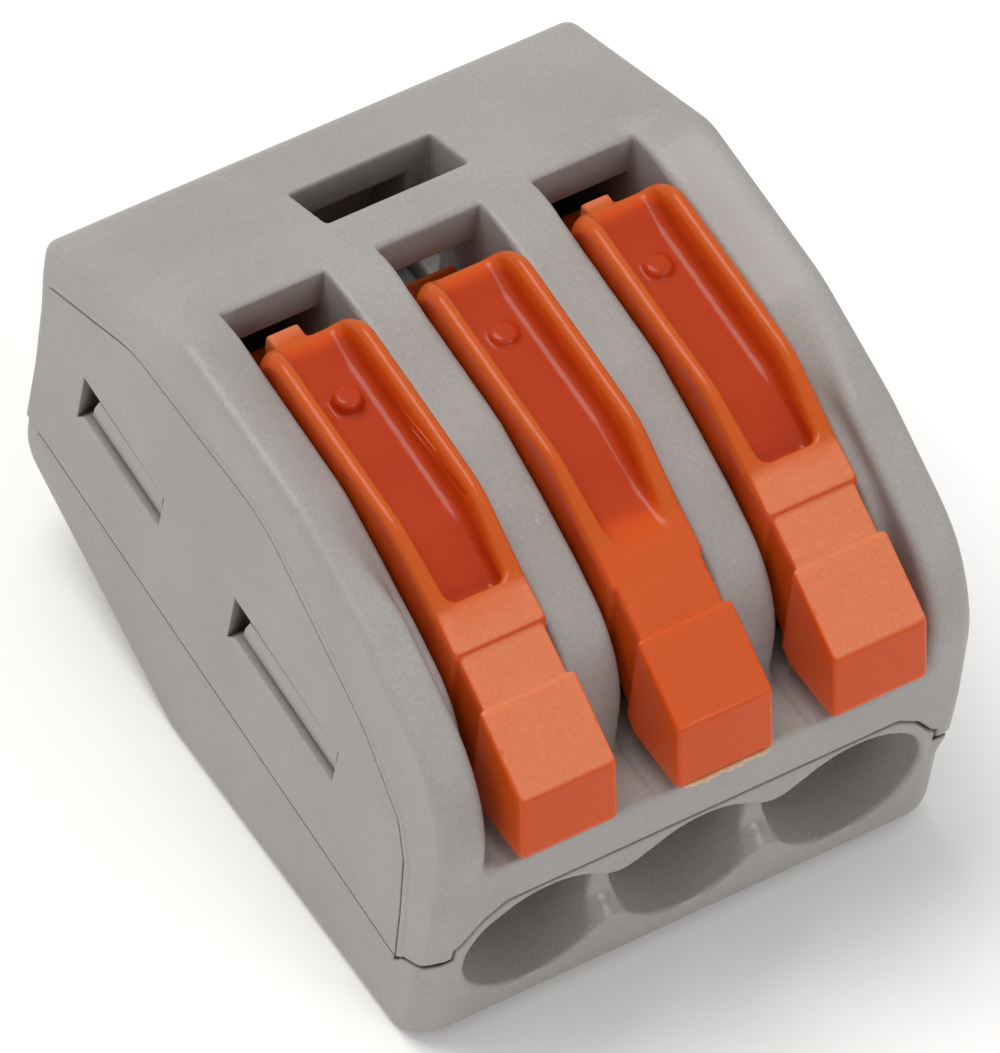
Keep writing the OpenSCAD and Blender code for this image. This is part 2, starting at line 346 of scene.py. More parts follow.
def sideways(loop: Array) -> Array:
    """Outward step at each point of a counter-clockwise loop.

    It lies on the corner's bisector and is as long as keeps the sides of the
    moved loop one unit from the old ones.
    """
    ahead = np.roll(loop, -1, axis=0) - loop
    ahead /= np.linalg.norm(ahead, axis=1)[:, None]
    behind = np.roll(ahead, 1, axis=0)
    step = np.column_stack((ahead[:, 1] + behind[:, 1], -ahead[:, 0] - behind[:, 0]))
    return step / (np.maximum(np.linalg.norm(step, axis=1) ** 2, 0.3)[:, None] / 2)


def plate(name: str, loops: Sequence[Array], x_inner: float, x_face: float,
          edge: float) -> bpy.types.Mesh:
    """Flat plate with holes, square to X, with a quarter-round front edge.

    Each loop is carried back from the face: it starts one edge radius inside
    itself on the face and follows the quarter circle out to its full size.

    Args:
        name: Name of the mesh.
        loops: Outlines in (y, z), the outer one counter-clockwise and every
            hole clockwise.
        x_inner: X of the hidden back.
        x_face: X of the face.
        edge: Radius of the face's edges.

    Returns:
        The closed plate.
    """
    outward = math.copysign(1.0, x_face - x_inner)
    turns = np.radians([0, 30, 60, 90])
    insets = np.append(edge * (1 - np.sin(turns)), 0.0)[:, None, None]
    depths = np.append(x_face - outward * edge * (1 - np.cos(turns)), x_inner)
    vertices, faces, front, back = [], [], [], []
    start = 0
    for loop in loops:
        n = len(loop)
        flat = loop[None] - sideways(loop)[None] * insets
        x = np.broadcast_to(depths[:, None, None], (depths.size, n, 1))
        vertices.append(np.concatenate((x, flat), axis=2).reshape(-1, 3))
        i, j = np.meshgrid(np.arange(depths.size - 1), np.arange(n), indexing="ij")
        k = (j + 1) % n
        faces.append(start + np.stack((i * n + j, (i + 1) * n + j, (i + 1) * n + k, i * n + k),
                                      -1).reshape(-1, 4))
        front.append(start + np.arange(n))
        back.append(start + (depths.size - 1) * n + np.arange(n))
        start += depths.size * n
    co = np.concatenate(vertices)
    for cap in (front, back):
        flat_loops = [[Vector(p) for p in np.column_stack((co[ids, 1:], 0 * ids))] for ids in cap]
        triangles = np.concatenate(cap)[np.array(tessellate_polygon(flat_loops))]
        faces.append(triangles[:, [0, 1, 2, 2]])
    return face_outward(write_mesh(name, co, np.concatenate(faces)))


def welt(path: Array, near: float, far: float) -> Array:
    """Outline of a band beside an open path, between two distances out of it."""
    step = sideways(np.concatenate((path, path[-1:] * 2 - path[-2:-1])))[:-1]
    step[0], step[-1] = step[1], step[-2]
    return np.concatenate((path + step * far, (path + step * near)[::-1]))


# ---------------------------------------------------------------- finishes

def linear(hex_colour: str, alpha: float = 1.0) -> tuple[float, float, float, float]:
    """Linear colour of an sRGB hex value."""
    parts = [int(hex_colour[i:i + 2], 16) / 255 for i in (0, 2, 4)]
    r, g, b = (c / 12.92 if c <= 0.04045 else ((c + 0.055) / 1.055) ** 2.4 for c in parts)
    return r, g, b, alpha


def add_node(tree: bpy.types.NodeTree, kind: str, links: dict | None = None,
             **settings: object) -> bpy.types.Node:
    """Adds one shader node.

    Args:
        tree: Node tree to add to.
        kind: Blender's name for the node type.
        links: Output sockets or plain values, by input name or number.
        settings: Properties of the node itself.

    Returns:
        The new node.
    """
    node = tree.nodes.new(kind)
    for name, value in settings.items():
        setattr(node, name, value)
    for key, value in (links or {}).items():
        if isinstance(value, bpy.types.NodeSocket):
            tree.links.new(value, node.inputs[key])
        else:
            node.inputs[key].default_value = value
    return node


def colour_ramp(tree: bpy.types.NodeTree, factor: bpy.types.NodeSocket,
                stops: Sequence[tuple[float, str]]) -> bpy.types.NodeSocket:
    """Colour that changes with a factor, through hex stops."""
    node = add_node(tree, "ShaderNodeValToRGB", {"Fac": factor})
    ramp_points = node.color_ramp.elements
    while len(ramp_points) < len(stops):
        ramp_points.new(1.0)
    for point, (place, colour) in zip(ramp_points, stops):
        point.position = place
        point.color = linear(colour)
    return node.outputs["Color"]


def new_material(name: str) -> tuple[bpy.types.Material, bpy.types.NodeTree, bpy.types.Node]:
    """Material with a bare Principled shader, its tree and that shader."""
    material = bpy.data.materials.new(name)
    material.use_nodes = True
    tree = material.node_tree
    tree.nodes.clear()
    shader = tree.nodes.new("ShaderNodeBsdfPrincipled")
    add_node(tree, "ShaderNodeOutputMaterial", {"Surface": shader.outputs["BSDF"]})
    return material, tree, shader


def per_mm(size: float) -> float:
    """Noise scale, on Object coordinates in metres, for a grain of that size."""
    return 1 / (size * MM)


@dataclass(frozen=True)
class MouldedPolyamide:
    """Filled grey polyamide from a spark-eroded mould: matt, with a fine even
    grain, faint flow clouds and a few pale and dark specks of filler."""
    name: str
    colour: str
    cloud_colour: str
    grain: float = 0.10       # mm, drawn coarser than real so that it shows
    clouds: float = 3.5       # mm across
    specks: float = 0.9       # mm between specks
    roughness: float = 0.46

    def material(self) -> bpy.types.Material:
        """Builds the material."""
        material, tree, shader = new_material(self.name)
        place = add_node(tree, "ShaderNodeTexCoord").outputs["Object"]
        cloud = add_node(tree, "ShaderNodeTexNoise", {
            "Vector": place, "Scale": per_mm(self.clouds), "Detail": 3.0}).outputs["Fac"]
        grain = add_node(tree, "ShaderNodeTexNoise", {
            "Vector": place, "Scale": per_mm(self.grain), "Detail": 2.0}).outputs["Fac"]
        base = colour_ramp(tree, cloud, [(0.35, self.colour), (0.7, self.cloud_colour)])
        speck = add_node(tree, "ShaderNodeTexVoronoi", {
            "Vector": place, "Scale": per_mm(self.specks)}, feature="F1")
        near = add_node(tree, "ShaderNodeMath", {
            0: speck.outputs["Distance"], 1: 0.035}, operation="LESS_THAN").outputs[0]
        tone = add_node(tree, "ShaderNodeSeparateColor", {
            "Color": speck.outputs["Color"]}).outputs[0]
        speck_colour = colour_ramp(tree, tone, [
            (0.0, "6E6863"), (0.35, "8F8A84"), (0.4, self.colour), (0.8, "D6D3CE")])
        strength = add_node(tree, "ShaderNodeMath", {0: near, 1: 0.55}, operation="MULTIPLY")
        mixed = add_node(tree, "ShaderNodeMix", {
            0: strength.outputs[0], 6: base, 7: speck_colour}, data_type="RGBA").outputs[2]
        mottled = add_node(tree, "ShaderNodeMix", {
            0: 0.10, 6: mixed, 7: colour_ramp(tree, grain, [(0.3, "5A5652"), (0.7, "E6E3DF")])},
            data_type="RGBA", blend_type="OVERLAY").outputs[2]
        tree.links.new(mottled, shader.inputs["Base Color"])
        rough = add_node(tree, "ShaderNodeMapRange", {
            "Value": grain, "To Min": self.roughness - 0.06, "To Max": self.roughness + 0.10})
        polish = add_node(tree, "ShaderNodeAttribute", attribute_name="polish").outputs["Fac"]
        smoother = add_node(tree, "ShaderNodeMath", {
            0: polish, 1: -0.26, 2: rough.outputs[0]}, operation="MULTIPLY_ADD")
        tree.links.new(smoother.outputs[0], shader.inputs["Roughness"])
        fine = add_node(tree, "ShaderNodeMath", {0: polish, 1: -0.14, 2: 0.16},
                        operation="MULTIPLY_ADD")
        bump = add_node(tree, "ShaderNodeBump", {
            "Height": grain, "Strength": fine.outputs[0], "Distance": 0.03 * MM})
        tree.links.new(bump.outputs[0], shader.inputs["Normal"])
        shader.inputs["IOR"].default_value = 1.53
        shader.inputs["Subsurface Weight"].default_value = 0.08
        shader.inputs["Subsurface Radius"].default_value = (1.0, 0.9, 0.8)
        shader.inputs["Subsurface Scale"].default_value = 0.25 * MM
        return material


@dataclass(frozen=True)
class GlossyPolyamide:
    """Unfilled orange polyamide from a polished mould: glossy and a little
    translucent. Its colour carries painted light: a lighter orange on thin rims
    is a painted highlight, a darker red on the pocket floors is painted shade,
    and the grained pads that fingers press have a painted pale sheen on their
    up-facing tops."""
    name: str
    # Painted light: the first colour is painted shade for the pocket floors, the last a painted
    # highlight for the rims, the middle one the plain orange.
    shaded_floor: str = "B03812"
    body: str = "CC4C10"
    lit_rim: str = "C2561A"
    # Painted sheen: a pale colour on the up-facing tops of the pads.
    painted_sheen: str = "DA8660"

    def material(self) -> bpy.types.Material:
        """Builds the material; one attribute paints shade in the pockets and a highlight on the
        rims, the other steers the painted sheen, the roughness and the grain of the pads.
        """
        material, tree, shader = new_material(self.name)
        place = add_node(tree, "ShaderNodeTexCoord").outputs["Object"]
        depth = add_node(tree, "ShaderNodeAttribute", attribute_name="depth").outputs["Fac"]
        pad_grain_and_sheen = add_node(tree, "ShaderNodeAttribute", attribute_name="pad_grain_and_sheen").outputs["Fac"]
        flow = add_node(tree, "ShaderNodeTexNoise", {
            "Vector": place, "Scale": per_mm(1.8), "Detail": 3.0}).outputs["Fac"]
        wander = add_node(tree, "ShaderNodeMapRange", {
            "Value": flow, "To Min": -0.12, "To Max": 0.12}).outputs[0]
        level = add_node(tree, "ShaderNodeMath", {0: depth, 1: wander}, operation="ADD")
        # Painted shade and highlight: darker red low in the pockets, lighter orange on the rims,
        # shifted a little by random flow.
        body = colour_ramp(tree, level.outputs[0], [
            (0.0, self.shaded_floor), (0.5, self.body), (1.0, self.lit_rim)])
        grain = add_node(tree, "ShaderNodeTexNoise", {
            "Vector": place, "Scale": per_mm(0.12), "Detail": 2.0}).outputs["Fac"]
        # Painted sheen: the pale colour on the pads, broken up by the grain.
        sheen_mottle = add_node(tree, "ShaderNodeMapRange", {
            "Value": grain, "From Min": 0.3, "From Max": 0.7, "To Min": 0.75, "To Max": 1.0})
        painted_sheen = add_node(tree, "ShaderNodeMath", {
            0: pad_grain_and_sheen, 1: sheen_mottle.outputs[0]}, operation="MULTIPLY").outputs[0]
        colour = add_node(tree, "ShaderNodeMix", {
            0: painted_sheen, 6: body, 7: linear(self.painted_sheen)}, data_type="RGBA").outputs[2]
        tree.links.new(colour, shader.inputs["Base Color"])
        rough = add_node(tree, "ShaderNodeMapRange", {
            "Value": pad_grain_and_sheen, "To Min": 0.24, "To Max": 0.42})
        tree.links.new(rough.outputs[0], shader.inputs["Roughness"])
        bump_strength = add_node(tree, "ShaderNodeMapRange", {
            "Value": pad_grain_and_sheen, "To Min": 0.05, "To Max": 0.20})
        bump = add_node(tree, "ShaderNodeBump", {
            "Height": grain, "Strength": bump_strength.outputs[0], "Distance": 0.03 * MM})
        tree.links.new(bump.outputs[0], shader.inputs["Normal"])
        shader.inputs["IOR"].default_value = 1.53
        shader.inputs["Specular IOR Level"].default_value = 0.22
        shader.inputs["Subsurface Weight"].default_value = 0.35
        shader.inputs["Subsurface Radius"].default_value = (1.0, 0.35, 0.12)
        shader.inputs["Subsurface Scale"].default_value = 0.5 * MM
        return material


@dataclass(frozen=True)
class RolledMetal:
    """Cold-rolled strip: fine lines along the rolling direction, which is Y,
    and faint stains that dull the polish."""
    name: str
    colour: str
    stain: str
    roughness: float = 0.28

    def material(self) -> bpy.types.Material:
        """Builds the material."""
        material, tree, shader = new_material(self.name)
        place = add_node(tree, "ShaderNodeTexCoord").outputs["Object"]
        stretched = add_node(tree, "ShaderNodeMapping", {
            "Vector": place, "Scale": (1.0, 0.04, 1.0)}).outputs[0]
        lines = add_node(tree, "ShaderNodeTexNoise", {
            "Vector": stretched, "Scale": per_mm(0.06), "Detail": 3.0}).outputs["Fac"]
        stains = add_node(tree, "ShaderNodeTexNoise", {
            "Vector": place, "Scale": per_mm(1.2), "Detail": 4.0}).outputs["Fac"]
        tree.links.new(colour_ramp(tree, stains, [(0.45, self.colour), (0.75, self.stain)]),
                       shader.inputs["Base Color"])
        rough = add_node(tree, "ShaderNodeMapRange", {
            "Value": lines, "To Min": self.roughness - 0.08, "To Max": self.roughness + 0.14})
        tree.links.new(rough.outputs[0], shader.inputs["Roughness"])
        bump = add_node(tree, "ShaderNodeBump", {
            "Height": lines, "Strength": 0.12, "Distance": 0.01 * MM})
        tree.links.new(bump.outputs[0], shader.inputs["Normal"])
        shader.inputs["Metallic"].default_value = 1.0
        return material


@dataclass(frozen=True)
class PlainTable:
    """Pale painted board under the part, with hardly any texture."""
    name: str = "pale_painted_board"
    colour: str = "FFFFFF"

    def material(self) -> bpy.types.Material:
        """Builds the material."""
        material, _, shader = new_material(self.name)
        shader.inputs["Base Color"].default_value = linear(self.colour)
        shader.inputs["Roughness"].default_value = 0.8
        return material


# ------------------------------------------------------------------ body

@dataclass
class Body:
    """Sizes of the two-part housing, shared by everything that fits in it."""
    pitch: float = 4.7            # between neighbouring levers
    slot_half: float = 1.55       # half a lever slot's clear width
    half_width: float = 8.05
    ridge_x: float = 6.7          # inner side of an end wall above the ribs
    wing_x: float = 7.35          # inner side of a latch wing
    flush: float = 0.003          # housing skin below a wing's face
    front_y: float = -10.25
    seam_front_z: float = 5.68
    seam_back_z: float = 4.65
    seam_gap: float = 0.08
    welt_w: float = 0.34
    welt_end: float = 9.3
    step_y: float = -4.45         # where the seam steps down, inside
    lip_y: float = -8.3
    ledge_z: float = 7.35
    slot_back_y: float = 4.24
    pivot: tuple[float, float] = (1.2, 11.56)
    pin_r: float = 0.9
    entry_z: float = 3.45
    entry_r: float = 1.9
    mouth_r: float = 2.1
    guide_r: float = 1.27
    side: Rows = (
        (-9.9, 0, 1.1), (-10.25, 5.6, 0), (-10.25, 10.35, 4.2), (-5.55, 12.83, 4),
        (-2.05, 14.0, 4), (3.35, 14.5, 1.6), (9.88, 11.9, 0.85), (10.3, 3.35, 0.9),
        (2.4, 0, 1.5))
    lips: Rows = (
        (-12, 7.35, 0), (-8.3, 7.35, 0.25), (-8.3, 10.67, 3.2), (-5.6, 12.02, 3),
        (-1.9, 13.5, 2), (4.24, 14.13, 0), (4.24, 17, 0), (-12, 17, 0))
    wing: Rows = (
        (9.95, 4.62, 0), (9.42, 10.4, 0.2), (5.4, 12.05, 3), (-0.9, 12.15, 4),
        (-6.1, 9.55, 3), (-8.01, 7.88, 0.6), (-8.42, 6.67, 0), (-8.53, 4.68, 0),
        (-8.55, 2.78, 0))
    latches: Sequence[tuple[float, float, float]] = ((7.3, 3.75, 7.35), (-0.25, 4.85, 6.6))
    latch_height: float = 1.35
    latch_tilt_deg: float = 6.0

    def outer(self, x: Array, y: Array, z: Array, half_width: float) -> Array:
        """Signed distance to the closed body.

        The side view is carried across the width, and its edges are rounded
        more over the brow and down the front corners than at the back.
        """
        radius = 0.34 + 0.12 * ramp(-y, 8.8, 9.8)
        radius = radius + 0.5 * ramp(-y, 8.6, 9.8) * ramp(-z, -4.2, -2.8)
        radius = radius + 0.3 * ramp(y, 9.4, 10.0) * ramp(-z, -10.8, -9.0)
        under = ramp(-z, -3.0, -1.2) * ramp(y, -9.0, -7.0)
        radius = radius + (0.35 - radius) * under
        profile = outline_distance(rounded_outline(self.side), y, z)
        return both(profile, np.abs(x) - half_width, radius)

    def from_pole(self, x: Array) -> Array:
        """Distance across the width to the nearest lever's middle."""
        return np.minimum(np.abs(x), np.abs(np.abs(x) - self.pitch))

    def foot(self, x: Array, y: Array, z: Array, gap: float) -> Array:
        """Signed distance to the corner posts' feet, grown by a gap."""
        x_top = self.pitch + 1.25
        x_mouth = self.pitch + self.mouth_r
        front = outline_distance(np.array([
            (9.05, 3.9), (7.9, 4.05), (x_mouth + 0.35, 4.5), (x_mouth - 0.2, 5.25),
            (x_top, self.seam_front_z), (x_top, 6.68), (9.05, 6.68)]), np.abs(x), z) - gap
        side = outline_distance(np.array([
            (-12, 4.6), (-10.1, 4.0), (-9.66, 3.5), (-8.95, 3.07), (-8.55, 2.78),
            (-8.53, 4.68), (-8.42, 6.67), (-12, 6.67)]), y, z) - gap
        return np.minimum(both(front, y + 9.5 - gap), both(side, self.wing_x - gap - np.abs(x)))

    def above_seam(self, y: Array, z: Array, gap: float) -> Array:
        """Signed distance to the space above the inner seam, less a gap."""
        front = self.seam_front_z + gap - z
        back = both(self.seam_back_z + gap - z, self.step_y + gap - y)
        return np.minimum(front, back)

    def wing_pocket(self, x: Array, y: Array, z: Array) -> Array:
        """Signed distance to the hollow that a wing lies in, below its welts."""
        around = outline_distance(rounded_outline(self.wing), y, z) - self.welt_w / 2
        return both(both(around, self.wing_x + 0.15 - np.abs(x)), y - self.welt_end)

    def welts(self, upper: bool) -> list[bpy.types.Mesh]:
        """Flush bands that carry the housing or the base up to the wings' seam."""
        low, back = np.array(self.wing[-1][:2]), np.array(self.wing[0][:2])
        if upper:
            path = rounded_outline(self.wing, 5)
            first = int(np.argmax(path[:, 0] < self.welt_end))
            step = path[first] - path[first - 1]
            start = path[first] + step * (self.welt_end - path[first, 0]) / step[0]
            path = np.concatenate((start[None], path[first:]))
            band = welt(path + (path == path[-1]) * (0, 0.05), self.seam_gap, self.welt_w)
            band[len(path) - 1, 1] += 0.26
        else:
            part = (self.welt_end - low[0]) / (back[0] - low[0])
            band = welt(np.array([low, low + (back - low) * part]), self.seam_gap * 0.7, self.welt_w)
        band = band[::-1] if area(band) < 0 else band
        return [plate(f"welt_{s}", [band], s * (self.half_width - 0.35), s * self.half_width, 0.003)
                for s in (-1, 1)]

    def at_latch(self, row: tuple[float, float, float], points: Rows) -> Array:
        """Turns points of a latch window into the side view."""
        a = math.radians(self.latch_tilt_deg)
        p = np.array(points, float)
        return np.column_stack((row[0] + p[:, 0] * math.cos(a) - p[:, 1] * math.sin(a),
                                row[2] + p[:, 0] * math.sin(a) + p[:, 1] * math.cos(a)))

    def window(self, row: tuple[float, float, float]) -> Array:
        """Outline of a latch window: a slit with a notched back end."""
        h = self.latch_height
        return self.at_latch(row, [(-row[1], 0), (-row[1], h), (0.32, h + 0.1), (0.3, -0.35),
                                   (0, 0)])


@dataclass
class UpperHousing:
    """Top half: roof, end walls, ribs, front sill, corner posts and noses."""
    body: Body
    finish: MouldedPolyamide
    bay: Rows = (
        (-10.5, 7.35, 0), (-7.0, 7.35, 0), (-7.0, 4, 0), (8.9, 4, 0), (8.9, 10.9, 0.8),
        (6, 12.3, 0), (4.24, 12.3, 0), (4.24, 17, 0), (-10.5, 17, 0))
    rib_edge: float = 0.2
    ridge_edge: float = 0.34
    slit_edge: float = 0.07
    sill_edge: float = 0.09

    def solid(self, x: Array, y: Array, z: Array) -> Array:
        """Signed distance to the housing, without its noses."""
        b = self.body
        d = b.outer(x, y, z, b.half_width - b.flush)
        above = outline_distance(rounded_outline(b.lips), y, z)
        behind = ramp(y, -6.0, -2.0)
        sill = ramp(-z, -8.0, -7.5) * ramp(-np.abs(x), -6.6, -6.2)
        edge = (self.ridge_edge + 0.8 * behind) * (1 - sill) + self.sill_edge * sill
        d = without(d, both(above, np.abs(x) - b.ridge_x, 0.25 + 0.7 * behind), edge)
        bay = outline_distance(rounded_outline(self.bay), y, z)
        edge = self.rib_edge - 0.1 * ramp(y, 2.0, 4.0)
        d = without(d, both(bay, b.from_pole(x) - b.slot_half), edge)
        slot = both(both(np.abs(x) - 2.15, slab(y, 5.7, 7.45)), 9 - z)
        d = without(d, slot, self.slit_edge)
        d = without(d, b.wing_pocket(x, y, z))
        pin = both(np.hypot(y - b.pivot[0], z - b.pivot[1]) - b.pin_r - 0.05,
                   b.from_pole(x) - 2.05)
        d = without(d, pin)
        bar = both(both(slab(y, 1.9, 5.1), z - 5.52), np.abs(x) - 6.25)
        d = without(d, bar)
        for row in b.latches:
            y0, y1 = row[0] - row[1] - 0.1, row[0] + 0.4
            pocket = outline_distance(b.window(row), y, z) - 0.12
            d = without(d, both(both(pocket, b.wing_x - np.abs(x)), slab(y, y0 - 1, y1 + 1)))
        keep = np.minimum(b.above_seam(y, z, b.seam_gap / 2), b.foot(x, y, z, -b.seam_gap / 2))
        return both(d, keep, 0.08)

    def noses(self) -> list[bpy.types.Mesh]:
        """Ramped noses in the latch windows.

        Each is a wedge section carried along the window: it stands back at
        the window's lower edge and is flush at the upper one.
        """
        b, h = self.body, self.body.latch_height
        section = np.array([
            (b.wing_x - 0.3, 0.06), (b.half_width - 0.27, 0.06), (b.half_width - 0.2, 0.12),
            (b.half_width - 0.07, h / 2), (b.half_width - 0.03, h * 0.62),
            (b.half_width - 0.03, h - 0.05), (b.half_width - 0.05, h - 0.03),
            (b.wing_x - 0.3, h - 0.03)])
        meshes = []
        for side in (-1, 1):
            for row in b.latches:
                ends = np.array([-0.05, -0.08, 0.08 - row[1], 0.05 - row[1]])
                shrink = np.array([0.03, 0, 0, 0.03])
                middle = section.mean(axis=0)
                rings = []
                for end, s, lean in zip(ends, shrink, (0.3, 0.3, 0, 0)):
                    flat = middle + (section - middle) * (1 - s)
                    side_view = b.at_latch(row, np.column_stack(
                        (end - lean * flat[:, 1], flat[:, 1])))
                    rings.append(np.column_stack((side * flat[:, 0], side_view)))
                meshes.append(closed_sweep(f"nose_{side}", np.array(rings)))
        return meshes

    def build(self) -> bpy.types.Object:
        """Makes the piece."""
        axes = (grid_lines(-8.3, 8.3, 0.3, [
                    (s * m - w, s * m + w, 0.06) for s in (-1, 1)
                    for m, w in ((0.0, 0.0), (1.55, 0.3), (3.15, 0.3), (6.4, 0.5), (7.65, 0.62))]
                    + [(-2.35, -1.95, 0.07), (1.95, 2.35, 0.07)]),
                grid_lines(-10.6, 10.6, 0.11, [(-10.45, -8.2, 0.07)]),
                grid_lines(1.4, 14.8, 0.11, [(1.6, 6.0, 0.06)]))
        shell = mould("upper_housing", self.solid, axes)
        mesh = join("upper_housing", [shell] + self.noses() + self.body.welts(True))
        mesh.materials.append(self.finish.material())
        piece = show("housing_top", mesh)
        keep_planes_flat(piece)
        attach(piece, "body")
        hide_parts("upper_housing")
        return piece


def closed_sweep(name: str, rings: Array) -> bpy.types.Mesh:
    """Closed skin through a row of rings, each end closed by a fan.

    Args:
        name: Name of the mesh.
        rings: Points with shape (rings, points in a ring, 3).

    Returns:
        The mesh, facing outwards.
    """
    n, m = rings.shape[:2]
    i, j = np.meshgrid(np.arange(n - 1), np.arange(m), indexing="ij")
    k = (j + 1) % m
    sides = np.stack((i * m + j, (i + 1) * m + j, (i + 1) * m + k, i * m + k), -1).reshape(-1, 4)
    centres = np.array([rings[0].mean(axis=0), rings[-1].mean(axis=0)])
    around = np.arange(m)
    after = (around + 1) % m
    first = np.column_stack((np.full(m, n * m), around, after, after))
    last = np.column_stack((np.full(m, n * m + 1), (n - 1) * m + after, (n - 1) * m + around,
                            (n - 1) * m + around))
    return face_outward(write_mesh(name, np.concatenate((rings.reshape(-1, 3), centres)),
                                   np.concatenate((sides, first, last))))


@dataclass
class BaseCover:
    """Bottom half: entry block, underside, side strips and latch wings."""
    body: Body
    finish: MouldedPolyamide
    web_edge: float = 0.09
    web_flow: float = 1.25
    web_top: float = 0.95
    wing_edge: float = 0.035

    def solid(self, x: Array, y: Array, z: Array) -> Array:
        """Signed distance to the base cover, without its wings."""
        b = self.body
        d = b.outer(x, y, z, b.half_width - b.flush)
        d = both(d, -b.above_seam(y, z, -b.seam_gap / 2), 0.07)
        d = without(d, b.foot(x, y, z, b.seam_gap / 2), 0.06)
        d = without(d, b.wing_pocket(x, y, z))
        into = y - b.front_y
        oval = 1 - 0.09 * ramp(-into, -1.9, 0.1)
        flare = (b.mouth_r - b.entry_r) * np.clip(1 - into / 1.7, 0, 1) ** 1.5
        taper = np.clip((into - 4.1) * 0.9, 0, b.entry_r - b.guide_r)
        near = b.from_pole(x)
        following = np.where(np.abs(x) < b.pitch, b.pitch - near, b.pitch + near)
        holes = [np.hypot(side * oval, z - b.entry_z) - b.entry_r - flare + taper
                 for side in (near, following)]
        flow = self.web_flow * np.clip(1 - into / 2.6, 0.01, 1)
        hole = both(either(holes[0], holes[1], flow), into - 6.5)
        web = both(both(following - b.pitch / 2 - 0.3, slab(z - b.entry_z, -0.6, self.web_top)),
                   into - 0.8, 0.3)
        d = without(d, either(hole, web, 0.25), self.web_edge * ramp(-z, -5.2, -4.7) + 0.02)
        hollow = both(outline_distance(np.array([
            (-4.5, 1.2), (3, 1.2), (8.6, 3.75), (8.6, 6), (-4.5, 6)]), y, z),
            b.from_pole(x) - b.slot_half)
        return without(d, hollow)

    def shade(self, mesh: bpy.types.Mesh) -> None:
        """Writes where the mould was polished: inside the wire entries."""
        co = np.empty(len(mesh.vertices) * 3, np.float32)
        mesh.vertices.foreach_get("co", co)
        x, y, z = co.reshape(-1, 3).T / MM
        b = self.body
        inside = b.mouth_r + 0.35 - np.hypot(b.from_pole(x) * 0.9, z - b.entry_z)
        polish = ramp(inside, 0.0, 0.3) * ramp(y, b.front_y - 0.01, b.front_y + 0.12)
        layer = mesh.attributes.new("polish", "FLOAT", "POINT")
        layer.data.foreach_set("value", polish.astype(np.float32))

    def wings(self) -> list[bpy.types.Mesh]:
        """Latch wings: plates with two windows each."""
        b = self.body
        outline = rounded_outline(b.wing, 5)
        loops = [outline if area(outline) > 0 else outline[::-1]]
        for row in b.latches:
            window = b.window(row)
            loops.append(window if area(window) < 0 else window[::-1])
        return [plate(f"wing_{s}", loops, s * (b.wing_x - 0.05), s * b.half_width, self.wing_edge)
                for s in (-1, 1)]

    def build(self) -> bpy.types.Object:
        """Makes the piece."""
        axes = (grid_lines(-8.3, 8.3, 0.11, [
                    (-8.2, -5.8, 0.06), (5.8, 8.2, 0.06), (-2.8, -1.9, 0.06), (1.9, 2.8, 0.06)]),
                grid_lines(-10.6, 10.6, 0.14, [(-10.45, -8.2, 0.06)]),
                grid_lines(-0.3, 5.9, 0.09, [(1.9, 5.8, 0.06)]))
        mesh = join("base_cover", [mould("base_cover", self.solid, axes)]
                    + self.wings() + self.body.welts(False))
        self.shade(mesh)
        mesh.materials.append(self.finish.material())
        piece = show("housing_base", mesh)
        keep_planes_flat(piece)
        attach(piece, "body")
        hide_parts("base_cover")
        return piece


def area(loop: Array) -> float:
    """Area of an outline, positive when it runs counter-clockwise."""
    after = np.roll(loop, -1, axis=0)
    return float(np.sum(loop[:, 0] * after[:, 1] - after[:, 0] * loop[:, 1]) / 2)


# ----------------------------------------------------------------- levers

class PocketEnd(Enum):
    """How a lever's pocket ends towards the grip."""
    SQUARE = "square"
    SOFT = "soft"


